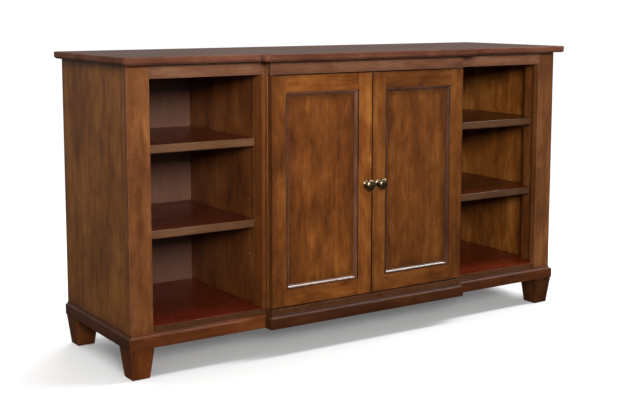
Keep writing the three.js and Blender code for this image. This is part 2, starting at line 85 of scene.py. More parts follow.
# ---- shader nodes ----
class Shader:
    """Builds one material's node tree, with short calls for the nodes that are used here."""

    def __init__(self, name):
        self.material = bpy.data.materials.new(name)
        self.material.use_nodes = True
        self.tree = self.material.node_tree
        self.tree.nodes.clear()
        self.surface = self.add("ShaderNodeBsdfPrincipled")
        output = self.add("ShaderNodeOutputMaterial")
        self.link(self.surface.outputs[0], output.inputs[0])
        self.coordinates = self.add("ShaderNodeTexCoord").outputs["Object"]

    def add(self, kind, **settings):
        node = self.tree.nodes.new(kind)
        for key, value in settings.items():
            setattr(node, key, value)
        return node

    def link(self, source, target):
        self.tree.links.new(source, target)

    def feed(self, socket, value):
        if isinstance(value, bpy.types.NodeSocket):
            self.link(value, socket)
        else:
            socket.default_value = value

    def set(self, **values):
        """Constant values of the surface's own sockets; an underscore stands for a space."""
        for key, value in values.items():
            self.surface.inputs[key.replace("_", " ")].default_value = value

    def place(self, location=(0, 0, 0), scale=(1, 1, 1)):
        node = self.add("ShaderNodeMapping")
        self.link(self.coordinates, node.inputs["Vector"])
        node.inputs["Location"].default_value = location
        node.inputs["Scale"].default_value = scale
        return node.outputs[0]

    def math(self, operation, first, second=0.0, clamp=False):
        node = self.add("ShaderNodeMath", operation=operation, use_clamp=clamp)
        self.feed(node.inputs[0], first)
        self.feed(node.inputs[1], second)
        return node.outputs[0]

    def total(self, *terms):
        """Sum of (value, weight) terms."""
        result = None
        for value, weight in terms:
            scaled = self.math("MULTIPLY", value, weight)
            result = scaled if result is None else self.math("ADD", result, scaled)
        return result

    def noise(self, vector, scale, detail=2.0, roughness=0.5, distortion=0.0):
        """Noise round zero, mostly from -0.3 to 0.3."""
        node = self.add("ShaderNodeTexNoise")
        self.link(vector, node.inputs["Vector"])
        node.inputs["Scale"].default_value = scale
        node.inputs["Detail"].default_value = detail
        node.inputs["Roughness"].default_value = roughness
        node.inputs["Distortion"].default_value = distortion
        return self.math("SUBTRACT", node.outputs[0], 0.5)

    def ramp(self, factor, stops):
        node = self.add("ShaderNodeValToRGB")
        elements = node.color_ramp.elements
        while len(elements) < len(stops):
            elements.new(0.5)
        for element, (place, color) in zip(elements, stops):
            element.position = place
            element.color = color
        self.link(factor, node.inputs[0])
        return node.outputs[0]

    def mix(self, factor, first, second):
        node = self.add("ShaderNodeMix", data_type="RGBA")
        self.feed(node.inputs[0], factor)
        self.feed(node.inputs[6], first)
        self.feed(node.inputs[7], second)
        return node.outputs[2]

    def remap(self, value, low, high, new_low, new_high, smooth=False):
        node = self.add("ShaderNodeMapRange")
        if smooth:
            node.interpolation_type = "SMOOTHSTEP"
        self.link(value, node.inputs[0])
        for index, number in enumerate((low, high, new_low, new_high), start=1):
            node.inputs[index].default_value = number
        return node.outputs[0]

    def bump(self, height, strength, distance):
        node = self.add("ShaderNodeBump")
        node.inputs["Strength"].default_value = strength
        node.inputs["Distance"].default_value = distance
        self.link(height, node.inputs["Height"])
        self.link(node.outputs[0], self.surface.inputs["Normal"])


def srgb(red, green, blue):
    """A colour as seen on a screen, from 0 to 255, turned into linear light."""
    def linear(value):
        value = min(max(value / 255, 0), 1)
        return value / 12.92 if value <= 0.04045 else ((value + 0.055) / 1.055) ** 2.4
    return (linear(red), linear(green), linear(blue), 1.0)


# ---- wood ----
# Each stain's dark, middle and light streaks, as seen on a screen.
STAINS = {
    "side": ((60, 31, 10), (113, 65, 24), (153, 101, 47)),
    "frame": ((70, 36, 15), (120, 72, 38), (160, 106, 60)),
    "rail": ((68, 38, 23), (113, 73, 52), (146, 106, 79)),
    "door": ((64, 31, 9), (115, 63, 22), (158, 98, 42)),
    "inner": ((52, 23, 9), (104, 57, 25), (138, 84, 40)),
    "lipping": ((64, 31, 12), (110, 61, 26), (142, 87, 42)),
    "shelf": ((44, 14, 7), (82, 31, 15), (110, 50, 25)),
    "floor": ((48, 13, 6), (92, 29, 14), (120, 47, 23)),
    "edge": ((60, 36, 22), (104, 71, 48), (138, 103, 77)),
    "floor_edge": ((46, 26, 13), (76, 45, 25), (104, 68, 42)),
    # Painted shade: the meeting stiles' edge faces, seen in the gap between the doors, are stained dark
    # for the shade in it.
    "door_edge": ((26, 12, 5), (46, 24, 11), (66, 38, 18)),
    # The moulding's stain is its wood tinted pinkish-grey and lighter as a painted sheen of reflected
    # light.
    "bead": ((52, 28, 16), (90, 54, 35), (124, 84, 60)),
    "base": ((44, 20, 6), (84, 42, 16), (118, 66, 30)),
    "foot": ((46, 22, 8), (92, 47, 18), (126, 71, 32)),
    "top": ((36, 20, 12), (64, 39, 25), (86, 57, 39)),
    "top_edge": ((60, 32, 21), (98, 58, 43), (132, 88, 70)),
    "back": ((74, 46, 36), (100, 68, 54), (118, 86, 72)),
}
STAINS["meeting"] = STAINS["door"]
EDGE_STAINS = {"shelf": "edge", "floor": "floor_edge", "top": "top_edge", "meeting": "door_edge"}
# Partly the boards' own tone, partly painted light: the darker right door, right stile and front right
# foot are painted shade where less light falls, and the lighter right top rail is a painted highlight.
TONES_AND_PAINTED_LIGHT = {  # boards that came out lighter or darker than their fellows
    "right_side_panel": 1.16,
    "right_door": 0.88,
    "left_door": 0.98,
    "left_door_hinge_stile": 0.92,
    "right_front_stile": 0.94,
    "right_top_rail": 1.08,
    "right_lower_shelf": 0.86,
    "right_upper_shelf": 0.86,
    "front_right_foot": 0.8,
    "front_left_foot": 1.12,
    "base_front_left": 1.12,
    "base_front_centre": 0.82,
    "base_left": 0.84,
}
STOP_PLACES = (0.05, 0.5, 0.95)  # where a stain's three colours stand, from dark to light
# Layers of noise in a board's figure: how much slower each is along the grain than across it, then its
# features per metre, detail, roughness and distortion.
GRAIN_LAYERS = {
    "blotch": (0.4, 8, 3, 0.5, 0.3),
    "mottle": (0.4, 30, 3, 0.6, 0.5),
    "streaks": (0.05, 75, 3, 0.55, 0.25),
    "fine": (0.05, 380, 3, 0.6, 0.0),
    "pores": (0.09, 900, 2, 0.5, 0.0),
}
MOTTLE_SHARE = 0.85  # how strongly a layer counts in the stain's tone, where blotches count as 1
STREAK_SHARE = 0.45
FINE_SHARE = 0.45
PORE_LEVELS = (-0.22, -0.08)  # the pore noise of a whole pore and of none
PORE_DARKNESS = 0.5
# How squarely a face looks along the board's thin axis: an edge below the first, broad above the second.
EDGE_FACING = (0.75, 0.85)
GLAZE_AND_SHADE_WIDTH = 90 * MM  # for full-strength glaze and painted shade; a weaker one is narrower
GLAZE_AND_SHADE_WANDER = 20 * MM  # how far the mottle moves the inner border of the glaze and painted shade
ARRIS_WIDTH = 1.6 * MM
# Painted highlight along each arris, stronger on the face frame.
ARRIS_HIGHLIGHT = 0.4
FRAME_ARRIS_HIGHLIGHT = 0.8
DOOR_GAP_SHADE_WIDTH = 2.6 * MM  # painted shade of the gap round the outline of each door
DOOR_GAP_SHADE = 0.85
LACQUER_ROUGHNESS = 0.07
GRAIN_RELIEF = 0.10
GRAIN_DEPTH = 0.5 * MM


def grain_layers(shader, axis, shift):
    """The noise of each layer, drawn out along the grain."""
    layers = []
    for pull, *noise in GRAIN_LAYERS.values():
        scale = [pull if name == axis else 1.0 for name in "XYZ"]
        layers.append(shader.noise(shader.place(shift, scale), *noise))
    return layers


def edge_distance(shader, low, high):
    """Distance in metres from the nearest edge, at any point on the faces of the box low to high."""
    split = shader.add("ShaderNodeSeparateXYZ")
    shader.link(shader.coordinates, split.inputs[0])
    depths = []
    for i in range(3):
        centred = shader.math("SUBTRACT", split.outputs[i], (low[i] + high[i]) / 2)
        depths.append(shader.math("SUBTRACT", (high[i] - low[i]) / 2, shader.math("ABSOLUTE", centred)))
    # One depth is zero on a face, so the distance from its nearest edge is the second smallest.
    lesser = shader.math("MINIMUM", depths[0], depths[1])
    greater = shader.math("MAXIMUM", depths[0], depths[1])
    return shader.math("MAXIMUM", lesser, shader.math("MINIMUM", greater, depths[2]))


def edge_band(shader, box, color, value, stops):
    """Solid wood along a board's edges, in another tone than its broad faces; on the meeting stiles a
    dark painted shade.
    """
    sizes = [high - low for low, high in zip(*box)]
    split = shader.add("ShaderNodeSeparateXYZ")
    normal = shader.add("ShaderNodeTexCoord").outputs["Normal"]
    shader.link(normal, split.inputs[0])
    broad = shader.math("ABSOLUTE", split.outputs[sizes.index(min(sizes))])
    in_band = shader.remap(broad, *EDGE_FACING, 1.0, 0.0)
    return shader.mix(in_band, color, shader.ramp(value, stops))


def tone_of(node):
    """Product of the tones, painted light and shade among them, of all the names that the node's name
    contains.
    """
    return math.prod(tone for part, tone in TONES_AND_PAINTED_LIGHT.items() if part in node)


def stain_stops(stain, tone):
    colors = (srgb(*(channel * tone for channel in color)) for color in STAINS[stain])
    return list(zip(STOP_PLACES, colors))


def stained(shader, stain, tone, box, value, pores):
    """The stained wood's colour, with the stain's dark and light ends."""
    stops = stain_stops(stain, tone)
    color = shader.ramp(value, stops)
    dark, light = stops[0][1], stops[-1][1]
    if stain in EDGE_STAINS:
        edge_stops = stain_stops(EDGE_STAINS[stain], tone)
        color = edge_band(shader, box, color, value, edge_stops)
        light = edge_stops[-1][1]
    pore_mask = shader.remap(pores, *PORE_LEVELS, PORE_DARKNESS, 0.0)
    return shader.mix(pore_mask, color, dark), dark, light


def glazed_and_shaded(shader, stain, tone, box, glaze_and_shade, mottle, colors):
    """Adds dark glaze and painted shade near a board's edges, then a painted highlight along the arris; a
    door gets instead a painted shade of the gap round its outline.
    """
    color, dark, light = colors
    from_edge = edge_distance(shader, *box)
    ragged = shader.math("ADD", from_edge, shader.math("MULTIPLY", mottle, GLAZE_AND_SHADE_WANDER))
    # Glaze and painted shade: the board darkens towards its edges, at joints and recesses where shade
    # gathers.
    glaze_and_shade_mask = shader.remap(ragged, 0.0, glaze_and_shade * GLAZE_AND_SHADE_WIDTH, glaze_and_shade, 0.0, smooth=True)
    color = shader.mix(glaze_and_shade_mask, color, dark)
    # Painted shade: a door's face is darkened next to its outline, where the gap round it lies in shade.
    if stain in ("door", "meeting"):
        gap_shade_mask = shader.remap(from_edge, 0.0, DOOR_GAP_SHADE_WIDTH, DOOR_GAP_SHADE, 0.0)
        return shader.mix(gap_shade_mask, color, stain_stops("door_edge", tone)[0][1])
    # Painted highlight: the stain's light end is laid along the arris, where the edge catches the light.
    arris_highlight = FRAME_ARRIS_HIGHLIGHT if stain == "frame" else ARRIS_HIGHLIGHT
    arris_highlight_mask = shader.remap(from_edge, 0.0, ARRIS_WIDTH, arris_highlight, 0.0)
    return shader.mix(arris_highlight_mask, color, light)


def wood(name, stain, axis, seed, box, tone, gloss, figure, glaze_and_shade, polish, specular):
    """Stained and glazed hardwood: streaks and pores along the grain, mottled stain, glazed edges with
    painted shade, painted highlights on the arrises, painted shade round each door's outline.
    """
    shader = Shader(name)
    draw = random.Random(seed)
    shift = [draw.uniform(-9, 9) for _ in range(3)]
    offset = 0.5 + draw.uniform(-0.05, 0.05)
    blotch, mottle, streaks, fine, pores = grain_layers(shader, axis, shift)

    value = shader.total(
        (blotch, figure), (mottle, MOTTLE_SHARE * figure), (streaks, STREAK_SHARE * figure),
        (fine, FINE_SHARE))
    value = shader.math("ADD", value, offset, clamp=True)
    colors = stained(shader, stain, tone, box, value, pores)
    color = glazed_and_shaded(shader, stain, tone, box, glaze_and_shade, mottle, colors)
    shader.link(color, shader.surface.inputs["Base Color"])

    rough = shader.remap(mottle, -0.25, 0.25, gloss - 0.05, gloss + 0.07)
    shader.link(rough, shader.surface.inputs["Roughness"])
    shader.set(Specular_IOR_Level=specular, Coat_Weight=polish, Coat_Roughness=LACQUER_ROUGHNESS)
    shader.bump(shader.total((fine, 0.5), (pores, 0.7), (mottle, 0.3)), GRAIN_RELIEF, GRAIN_DEPTH)
    return shader.material


BRASS_TONES = ((64, 52, 38), (114, 97, 72), (172, 154, 124))  # from brown to rubbed bright


def aged_brass(name, seed, bright=1.0):
    """Antique brass in brown and brighter rubbed patches."""
    shader = Shader(name)
    place = shader.place((seed, seed * 0.7, seed * 0.3))
    patches = shader.noise(place, 150, 4, 0.6)
    scratches = shader.noise(place, 1100, 2, 0.6)
    rubbed = shader.remap(patches, -0.18, 0.2, 0.0, 1.0)
    tones = [srgb(*(channel * bright for channel in tone)) for tone in BRASS_TONES]
    color = shader.ramp(rubbed, list(zip((0.0, 0.5, 1.0), tones)))
    shader.link(color, shader.surface.inputs["Base Color"])
    shader.set(Metallic=1.0)
    shader.link(shader.remap(patches, -0.2, 0.2, 0.42, 0.28), shader.surface.inputs["Roughness"])
    shader.bump(scratches, 0.1, 0.2 * MM)
    return shader.material


def black_plastic(name):
    """Black moulded plastic with a fine spark-eroded texture."""
    shader = Shader(name)
    grain = shader.noise(shader.coordinates, 1400, 2)
    level = shader.math("ADD", grain, 0.5)
    color = shader.ramp(level, [(0.3, srgb(22, 21, 20)), (0.7, srgb(40, 39, 37))])
    shader.link(color, shader.surface.inputs["Base Color"])
    shader.link(shader.remap(grain, -0.2, 0.2, 0.42, 0.6), shader.surface.inputs["Roughness"])
    shader.bump(grain, 0.25, 0.2 * MM)
    return shader.material


# ---- which wood goes where ----
WOOD_POLISH = 0.1
BEAD_POLISH = 0.7
WOOD_SPECULAR = 0.22
TOP_SPECULAR = 0.06
METAL_EASING = 0.3 * MM
SHELF_EASING = 3.0 * MM
STILE_EASING = 2.2 * MM
WOOD_EASING = 1.1 * MM
WELD_DISTANCE = 0.01 * MM
SHARP_ANGLE = math.radians(32)


def wood_plan(node):
    """(stain, grain axis, gloss, figure, glaze with painted shade near the edges) of a wooden CAD node,
    by its name.
    """
    if node == "top_panel":
        return ("top", "X", 0.36, 0.8, 0.2)
    if node.endswith("side_panel"):
        return ("side", "Z", 0.42, 0.9, 0.35)
    if node.endswith("back_panel"):
        return ("back", "Z", 0.5, 0.5, 0.2)
    if node.endswith(("_partition", "_pin_strip")):
        return ("inner", "Z", 0.4, 0.9, 0.2)
    if node.endswith("_partition_lipping"):
        return ("lipping", "Z", 0.36, 0.7, 0.2)
    if node.endswith("_shelf"):
        return ("shelf", "X", 0.3, 0.4, 0.15)
    if node.endswith("_foot"):
        return ("foot", "Z", 0.38, 0.8, 0.2)
    if node.startswith("base_"):
        along_side = node in ("base_left", "base_right")
        return ("base", "Y" if along_side else "X", 0.34, 0.8, 0.2)
    if node.endswith("door_panel"):
        return ("door", "Z", 0.34, 1.0, 0.55)
    if node.endswith("door_bead"):
        return ("bead", "Z", 0.3, 0.8, 0.1)
    if node.endswith("meeting_stile"):
        return ("meeting", "Z", 0.32, 1.0, 0.2)
    if "_door_" in node:
        return ("door", "Z" if node.endswith("stile") else "X", 0.32, 1.0, 0.2)
    if node == "bottom_panel":
        return ("floor", "X", 0.28, 0.4, 0.15)
    if node.endswith("rail"):
        return ("rail", "X", 0.33, 0.8, 0.25)
    return ("frame", "Z", 0.33, 0.9, 0.2)


def finish_box(node):
    """The box whose edges a board's finish follows: the members of a door's frame share the door's."""
    if "_door_" in node and node.endswith(("stile", "rail")):
        label = node.split("_")[0]
        boxes = [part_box(f"{label}_door_{member}") for member in ("hinge_stile", "meeting_stile")]
        low = [min(low[i] for low, high in boxes) for i in range(3)]
        high = [max(high[i] for low, high in boxes) for i in range(3)]
        return low, high
    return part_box(node)


def wood_for(node, seed):
    stain, axis, *finish = wood_plan(node)
    polish = BEAD_POLISH if node.endswith("bead") else WOOD_POLISH
    specular = TOP_SPECULAR if node == "top_panel" else WOOD_SPECULAR
    box, tone = finish_box(node), tone_of(node)
    return wood(f"{node}_wood", stain, axis, seed, box, tone, *finish, polish, specular)


def is_metal(node):
    return "hinge_fixed" in node or "hinge_door" in node or node.endswith(("knob", "strike_plate"))


def easing(node):
    """How far the arrises of a node are rounded."""
    if is_metal(node):
        return METAL_EASING
    if node.endswith("_shelf"):
        return SHELF_EASING
    return STILE_EASING if node.endswith("front_stile") else WOOD_EASING


def dress_cad_nodes():
    reset = shading_reset()
    for seed, name in enumerate(sorted(NODES), start=1):
        node = NODES[name]
        if is_metal(name):
            material = aged_brass(f"{name}_brass", seed)
        elif name == "door_catch":
            material = black_plastic("catch_plastic")
        else:
            material = wood_for(name, seed)
        node.data.materials.clear()
        node.data.materials.append(material)
        ease_edges(node, easing(name), reset)


def shading_reset():
    """Geometry nodes that drop a mesh's imported shading and leave its shape alone."""
    group = bpy.data.node_groups.new("shading_reset", "GeometryNodeTree")
    for direction in ("INPUT", "OUTPUT"):
        group.interface.new_socket("Geometry", in_out=direction, socket_type="NodeSocketGeometry")
    geometry = group.nodes.new("NodeGroupInput").outputs[0]
    for attribute in ("custom_normal", "sharp_edge", "sharp_face"):
        drop = group.nodes.new("GeometryNodeRemoveAttribute")
        drop.inputs["Name"].default_value = attribute
        group.links.new(geometry, drop.inputs["Geometry"])
        geometry = drop.outputs[0]
    group.links.new(geometry, group.nodes.new("NodeGroupOutput").inputs[0])
    return group


def ease_edges(obj, width, reset):
    """Takes the sharpness off a board's arrises, as sanding and lacquer do."""
    obj.modifiers.new("shading_reset", "NODES").node_group = reset
    weld = obj.modifiers.new("weld", "WELD")
    weld.merge_threshold = WELD_DISTANCE
    bevel = obj.modifiers.new("eased_edges", "BEVEL")
    bevel.width = width
    bevel.segments = 3
    bevel.limit_method = "ANGLE"
    bevel.angle_limit = SHARP_ANGLE
    bevel.harden_normals = True


# ---- shapes of detailed pieces ----
def add_piece(name, vertices, faces, material, body, slot, replaced=()):
    mesh = bpy.data.meshes.new(name)
    mesh.from_pydata([tuple(v) for v in vertices], [], faces)
    shell = bmesh.new()
    shell.from_mesh(mesh)
    bmesh.ops.remove_doubles(shell, verts=shell.verts, dist=0.005 * MM)
    bmesh.ops.recalc_face_normals(shell, faces=shell.faces)
    shell.to_mesh(mesh)
    shell.free()
    mesh.materials.append(material)
    piece = bpy.data.objects.new(name, mesh)
    bpy.context.scene.collection.objects.link(piece)
    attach(piece, body)
    if replaced:
        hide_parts(*replaced)
    return piece


def smooth_by_angle(piece, degrees):
    """Smooth shading, with an edge wherever two faces meet more sharply than this."""
    mesh = piece.data
    limit = math.radians(degrees)
    shell = bmesh.new()
    shell.from_mesh(mesh)
    for face in shell.faces:
        face.smooth = True
    for edge in shell.edges:
        edge.smooth = len(edge.link_faces) == 2 and edge.calc_face_angle(0) < limit
    shell.to_mesh(mesh)
    shell.free()


def skin(rings, closed):
    """Faces over rings of points that all have the same count: a torus if closed, or else capped."""
    count = len(rings[0])
    vertices = [point for ring in rings for point in ring]
    faces = []
    stretches = len(rings) if closed else len(rings) - 1
    for level in range(stretches):
        here = level * count
        there = (level + 1) % len(rings) * count
        for i in range(count):
            j = (i + 1) % count
            faces.append((here + i, here + j, there + j, there + i))
    if not closed:
        last = (len(rings) - 1) * count
        faces.append(tuple(reversed(range(count))))
        faces.append(tuple(range(last, last + count)))
    return vertices, faces


def arc(centre, radius, start, end, steps):
    """Points on an arc, in the plane of two coordinates, angles in degrees."""
    points = []
    for i in range(steps + 1):
        angle = math.radians(start + (end - start) * i / steps)
        points.append((centre[0] + radius * math.cos(angle), centre[1] + radius * math.sin(angle)))
    return points


def left_normal(start, end):
    dx, dy = end[0] - start[0], end[1] - start[1]
    length = math.hypot(dx, dy)
    return (-dy / length, dx / length)


def mitred_rings(path, profile, first, last, closed=False, gap=0.0):
    """Profile of (offset to the path's left, height), set at the corners first..last of a plan path."""
    count = len(path)
    rings = []
    for i in range(first, last + 1):
        before = left_normal(path[i - 1], path[i]) if closed or i > 0 else None
        after = left_normal(path[i], path[(i + 1) % count]) if closed or i < count - 1 else None
        before = before or after
        after = after or before
        scale = 1 + before[0] * after[0] + before[1] * after[1]
        mitre = ((before[0] + after[0]) / scale, (before[1] + after[1]) / scale)
        stand_back = (0.0, 0.0)
        if not closed and i == first:
            stand_back = (after[1] * gap, -after[0] * gap)
        if not closed and i == last:
            stand_back = (-before[1] * gap, before[0] * gap)
        rings.append([
            (path[i][0] + mitre[0] * out + stand_back[0], path[i][1] + mitre[1] * out + stand_back[1], z)
            for out, z in profile
        ])
    return rings


# ---- top ----
TOP_LOWER_INSET = 4 * MM
TOP_ARRIS = 3 * MM
TOP_END_RADIUS = 11 * MM
TOP_STEP_RADIUS = 16 * MM
TOP_CORNER_STEPS = 10
TOP_STEP_OVERHANG = 35 * MM  # of the forward part, past the cupboard's sides
TOP_BAY_OVERHANG = 34 * MM


def top_outline(inset):
    """Plan outline of the top, drawn in by inset, with its outer corners rounded."""
    low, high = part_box("top_panel")
    side = high.x - inset
    step = HALF_CENTRE + TOP_STEP_OVERHANG - inset
    bay_edge = BAY_FRONT - TOP_BAY_OVERHANG + inset
    front = low.y + inset
    back = high.y - inset
    end_radius = TOP_END_RADIUS - inset
    step_radius = TOP_STEP_RADIUS - inset
    points = arc((-side + end_radius, bay_edge + end_radius), end_radius, 180, 270, TOP_CORNER_STEPS)
    points.append((-step, bay_edge))
    points += arc((-step + step_radius, front + step_radius), step_radius, 180, 270, TOP_CORNER_STEPS)
    points += arc((step - step_radius, front + step_radius), step_radius, 270, 360, TOP_CORNER_STEPS)
    points.append((step, bay_edge))
    points += arc((side - end_radius, bay_edge + end_radius), end_radius, 270, 360, TOP_CORNER_STEPS)
    points += [(side, back), (-side, back)]
    return points


def make_top(material):
    """The top, with an undercut below its edge and a rounded upper arris."""
    edge = [(TOP_LOWER_INSET, UNDER_TOP), (TOP_LOWER_INSET, UNDER_TOP + 2 * MM)]
    edge += [(TOP_LOWER_INSET - x, z) for x, z in arc((0, UNDER_TOP + 6 * MM), 4 * MM, 270, 360, 5)]
    edge += [(TOP_ARRIS - x, z) for x, z in arc((0, HEIGHT - TOP_ARRIS), TOP_ARRIS, 0, 90, 6)]
    rings = []
    for inset, z in edge:
        rings.append([(x, y, z) for x, y in top_outline(inset)])
    piece = add_piece("top", *skin(rings, False), material, "carcass", "top_wood", ["top_panel"])
    smooth_by_angle(piece, 40)


# ---- base mouldings ----
BASE_INNER = 14 * MM
BASE_OUT = 8 * MM
MITRE_GAP = 0.15 * MM


def base_profile():
    """(offset, height) round a base length: a fillet, a cove and a rounded nose over a flat face."""
    points = [(BASE_INNER, BASE_BOTTOM), (BASE_INNER, BASE_TOP), (-0.6 * MM, BASE_TOP)]
    points += [(-1.0 * MM, BASE_TOP - 0.4 * MM), (-1.0 * MM, BASE_TOP - 1.8 * MM)]
    cove = arc((-6.0 * MM, BASE_TOP - 1.8 * MM), 5.0 * MM, 0, -78, 7)
    points += cove[1:]
    nose = arc((-BASE_OUT + 2.0 * MM, BASE_TOP - 9.4 * MM), 2.0 * MM, 100, 180, 6)
    points += nose
    points += [(-BASE_OUT, BASE_BOTTOM + 1.0 * MM), (-BASE_OUT + 1.0 * MM, BASE_BOTTOM)]
    return points


def make_base():
    side, centre = CASE_SIDE, HALF_CENTRE
    path = [
        (-side, CASE_BACK), (-side, BAY_FRONT), (-centre, BAY_FRONT), (-centre, DOOR_FRONT),
        (centre, DOOR_FRONT), (centre, BAY_FRONT), (side, BAY_FRONT), (side, CASE_BACK),
    ]
    lengths = (("base_left", 0, 1), ("base_front_left", 1, 2), ("base_front_centre", 2, 5),
               ("base_front_right", 5, 6), ("base_right", 6, 7))
    for node, first, last in lengths:
        rings = mitred_rings(path, base_profile(), first, last, gap=MITRE_GAP)
        piece = add_piece(
            node.replace("base", "base_moulding"), *skin(rings, False),
            NODES[node].data.materials[0], "carcass", "base_wood", [node])
        smooth_by_angle(piece, 30)


# ---- doors ----
def bead_profile():
    """(inward offset, height over the panel) of the moulding inside a door's frame."""
    points = [(0, 0), (12.5 * MM, 0), (12.5 * MM, 1.0 * MM)]
    points += arc((10.6 * MM, 1.0 * MM), 1.9 * MM, 0, 90, 4)
    points += [(9.7 * MM, 2.9 * MM), (8.4 * MM, 4.4 * MM), (6.9 * MM, 5.9 * MM), (5.4 * MM, 7.2 * MM)]
    points += arc((4.1 * MM, 6.2 * MM), 1.8 * MM, 48, 95, 4)
    points += [(2.8 * MM, 7.7 * MM), (2.6 * MM, 4.2 * MM), (0.4 * MM, 4.2 * MM), (0, 4.6 * MM)]
    return points


def make_bead(label):
    """Sweeps the moulding round the door's panel, mitred at its corners."""
    low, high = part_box(f"{label}_door_bead")
    path = [(low.x, low.z), (high.x, low.z), (high.x, high.z), (low.x, high.z)]
    rings = []
    for ring in mitred_rings(path, bead_profile(), 0, 3, closed=True):
        rings.append([(x, high.y - height, z) for x, z, height in ring])
    vertices, faces = skin(rings, True)
    node = f"{label}_door_bead"
    piece = add_piece(
        f"{label}_door_moulding", vertices, faces, NODES[node].data.materials[0],
        f"{label}_door", "door_wood", [node])
    smooth_by_angle(piece, 35)


KNOB_PROFILE = (  # (radius, height over the door) in millimetres
    (0, 0), (10.2, 0), (10.9, 0.3), (11, 1.0), (10.6, 1.7), (9.4, 2.1), (8.4, 2.8), (7.2, 3.6),
    (5.8, 4.6), (4.9, 6.2), (4.4, 8.6), (4.3, 11.4), (4.6, 13.4), (5.7, 14.6), (6.8, 14.9),
    (7.2, 15.7), (6.9, 16.6), (9.0, 17.3), (12.2, 18.7), (14.8, 20.9), (16.1, 23.3), (16.5, 25.4),
    (16.1, 27.6), (14.8, 29.8), (12.4, 31.8), (9.0, 33.1), (4.6, 33.7), (0, 33.8),
)
KNOB_STEPS = 48


def make_knob(label, seed):
    """A turned ball knob with a collar, a waisted stem and a stepped rose."""
    node = f"{label}_door_knob"
    low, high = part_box(node)
    x, z = (low.x + high.x) / 2, (low.z + high.z) / 2
    rings = []
    for radius, height in KNOB_PROFILE[1:-1]:
        rings.append([(x + px, high.y - height * MM, z + pz)
                      for px, pz in arc((0, 0), radius * MM, 0, 360, KNOB_STEPS)[:-1]])
    vertices, faces = skin(rings, False)
    piece = add_piece(
        f"{label}_knob", vertices, faces, aged_brass(f"{label}_knob_brass", seed),
        f"{label}_door", "brass", [node])
    smooth_by_angle(piece, 50)


# ---- shelf pins ----
PEG_FIRST = 221.5 * MM
PEG_PITCH = 80.5 * MM
SHELF_ROWS = {"lower_shelf": 2, "upper_shelf": 5}
CENTRE_SHELF_ROW = 3
CENTRE_PIN_FRONT = -130 * MM
PIN_SETBACK = 75 * MM  # front pins in the partitions, from the bay's front
STRIP_PIN_SETBACK = 50 * MM
PIN_FROM_BACK = 35 * MM
PIN_STEPS = 16
PIN_IN_HOLE = ((-7, 2.4), (-0.1, 2.4))  # (distance out of the wall, radius), in millimetres
PIN_OUTSIDE = ((0.1, 3.4), (0.9, 3.5), (1.2, 3.2), (1.2, 2.4), (6.6, 2.4), (7.6, 2.1), (8.1, 1.2))


def pin_rings(face_x, direction, y, z, shape=PIN_IN_HOLE + PIN_OUTSIDE):
    """A turned shelf pin standing out of a wall: a shaft, a collar against the wall and a round nose."""
    rings = []
    for out, radius in shape:
        rings.append([(face_x + direction * out * MM, y + py, z + pz)
                      for py, pz in arc((0, 0), radius * MM, 0, 360, PIN_STEPS)[:-1]])
    return rings


def add_pin(name, rings, material):
    smooth_by_angle(add_piece(name, *skin(rings, False), material, "carcass", "brass"), 40)


def make_bay_pins(material, back):
    """Four pins under each shelf of the side bays."""
    partition_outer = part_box("right_partition")[1].x
    strip_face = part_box("right_pin_strip")[0].x
    panel_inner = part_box("right_side_panel")[0].x
    front = BAY_FRONT + PIN_SETBACK
    strip_front = BAY_FRONT + STRIP_PIN_SETBACK
    for label, side in SIDES:
        for shelf, row in SHELF_ROWS.items():
            z = PEG_FIRST + row * PEG_PITCH
            places = ((partition_outer, side, front), (partition_outer, side, back),
                      (strip_face, -side, strip_front), (panel_inner, -side, back))
            for number, (x, direction, y) in enumerate(places, start=1):
                rings = pin_rings(side * x, direction, y, z)
                add_pin(f"{label}_{shelf}_pin_{number}", rings, material)


def make_centre_pins(material, back):
    """Four pins under the cupboard's shelf, which have no holes in the CAD model."""
    partition_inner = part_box("right_partition")[0].x
    z = PEG_FIRST + CENTRE_SHELF_ROW * PEG_PITCH
    places = ((side, y) for _, side in SIDES for y in (CENTRE_PIN_FRONT, back))
    for number, (side, y) in enumerate(places, start=1):
        rings = pin_rings(side * partition_inner, -side, y, z, PIN_OUTSIDE)
        add_pin(f"centre_shelf_pin_{number}", rings, material)


def make_shelf_pins(material):
    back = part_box("right_back_panel")[0].y - PIN_FROM_BACK
    make_bay_pins(material, back)
    make_centre_pins(material, back)


# ---- screws, and the magnets of the door catch ----
# (radius, height over the seat) in millimetres
SCREW_PROFILE = ((3.4, 0.0), (3.4, 0.25), (2.9, 0.75), (1.9, 1.05), (1.3, 1.1), (1.2, 0.5), (0.4, 0.35))
MAGNET_PROFILE = ((5.5, -2.0), (5.5, 0.3), (5.1, 0.7), (1.5, 0.7), (1.2, 0.4))
SCREW_STEPS = 14
MAGNET_STEPS = 28
BACK_SCREW_SCALE = 0.9
BACK_SCREW_INSET = 11 * MM
BACK_SCREW_SPACING = 130 * MM
COLUMN_SCREW_SPACING = 140 * MM
COLUMN_MARGIN = 100 * MM
HINGE_SCREW_SCALE = 0.62
HINGE_SCREW_PLACES = (8 * MM, 26 * MM)  # from the leaf's inner end
HINGE_LEAF = 2 * MM
MAGNET_OUT = 20 * MM
MAGNET_UP = 10 * MM


def screw_head(centre, axis, scale):
    """Rings of a domed head with a drive recess, seated at centre and facing along axis (x, y or z)."""
    index = "xyz".index(axis[-1])
    sign = -1 if axis[0] == "-" else 1
    rings = []
    for radius, height in SCREW_PROFILE:
        ring = []
        for u, v in arc((0, 0), radius * scale * MM, 0, 360, SCREW_STEPS)[:-1]:
            offset = [u, v]
            offset.insert(index, sign * height * scale * MM)
            ring.append(tuple(c + d for c, d in zip(centre, offset)))
        rings.append(ring)
    return rings


